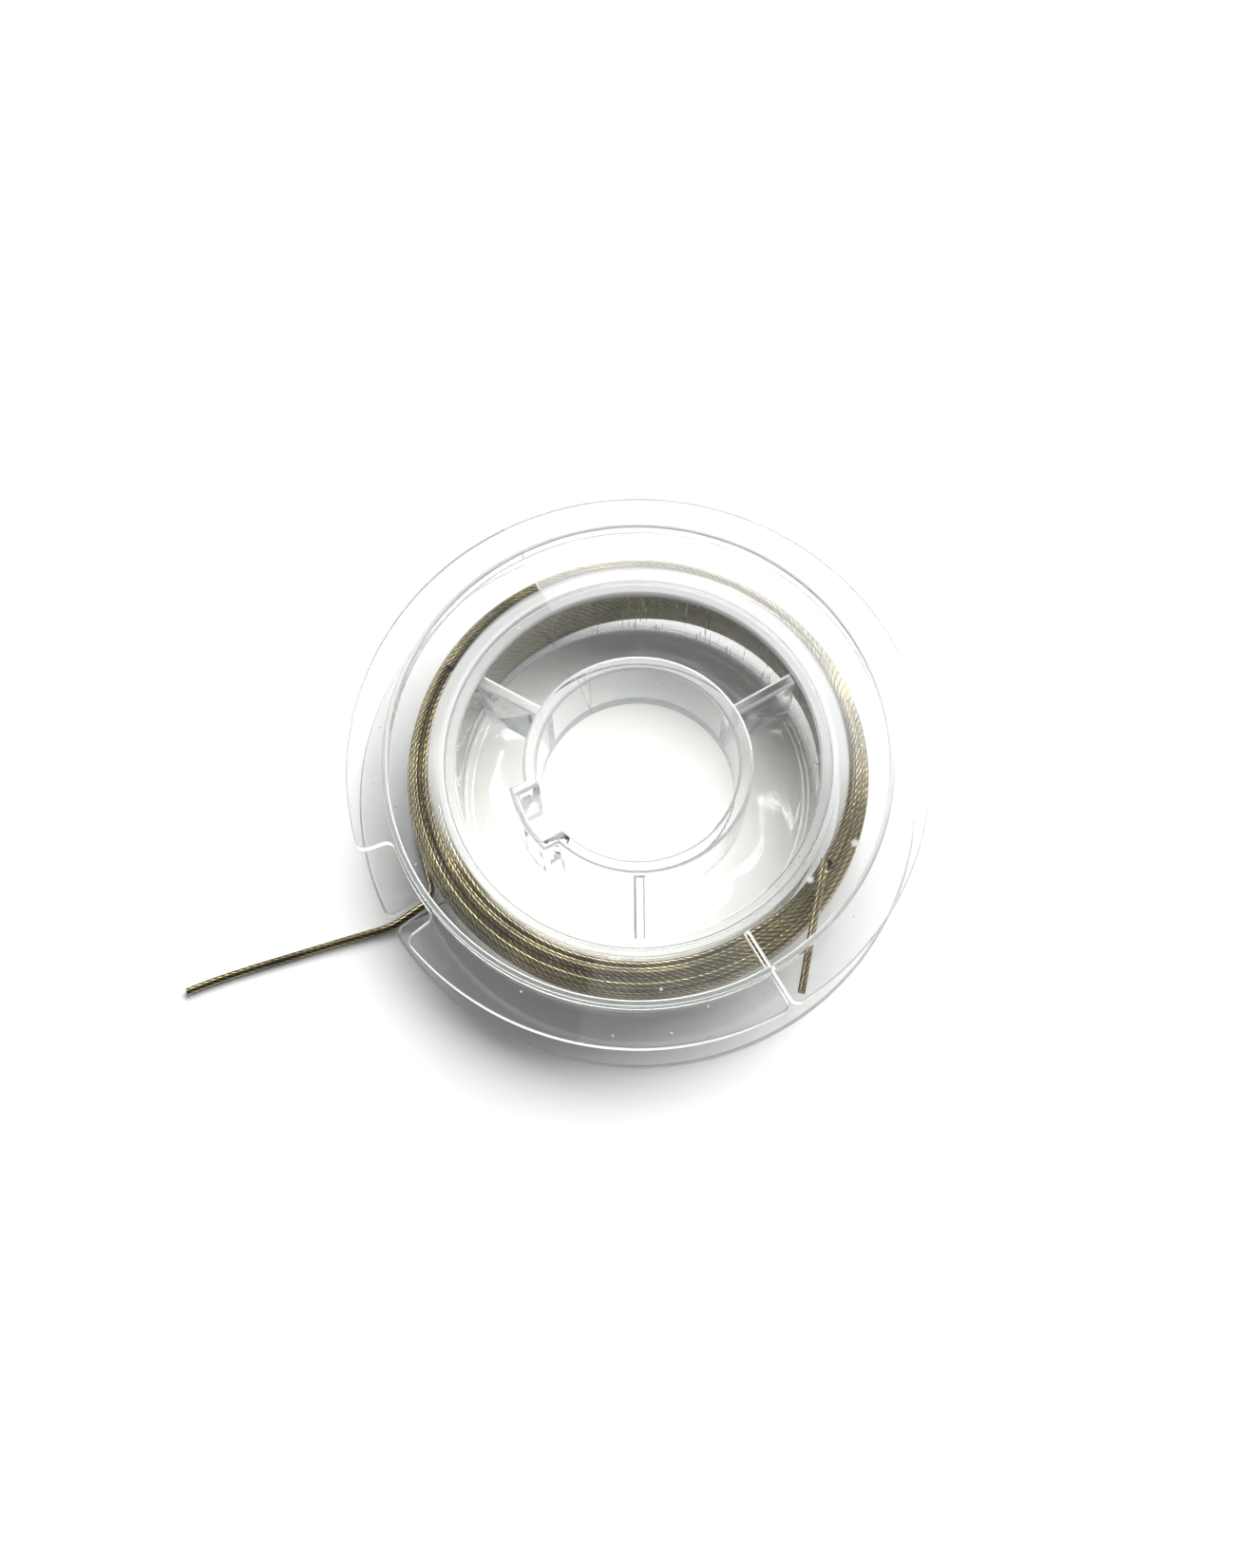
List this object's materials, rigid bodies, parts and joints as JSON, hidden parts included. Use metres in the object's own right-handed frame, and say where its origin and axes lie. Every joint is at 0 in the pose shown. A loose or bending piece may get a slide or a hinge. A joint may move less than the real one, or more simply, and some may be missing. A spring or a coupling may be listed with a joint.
{
  "type": "craft wire spool",
  "caption": "Small clear plastic spool with a ribbed hub and keyed bore, wound with coated stranded steel wire whose free end leaves through a slot in the lower flange.",
  "frame": {"origin": "centre of the lower flange's underside, on the spool's axis", "axes": "+Z along the spool's axis, from the lower flange to the upper flange; +X to the right and -Y to the front, where the wire's free end leaves to the left"},
  "size_m": [0.0773, 0.06, 0.0132],
  "materials": {
    "clear_plastic": "clear moulded polystyrene, glossy",
    "coated_wire": "stranded steel wire under a thin clear coating, olive bronze sheen"
  },
  "bodies": {
    "root": {"spool_base": "clear_plastic", "upper_flange": "clear_plastic", "wire_core": "coated_wire", "wire_outer_layer": "coated_wire", "wire_start_tail": "coated_wire", "wire_free_end": "coated_wire"}
  },
  "joints": []
}
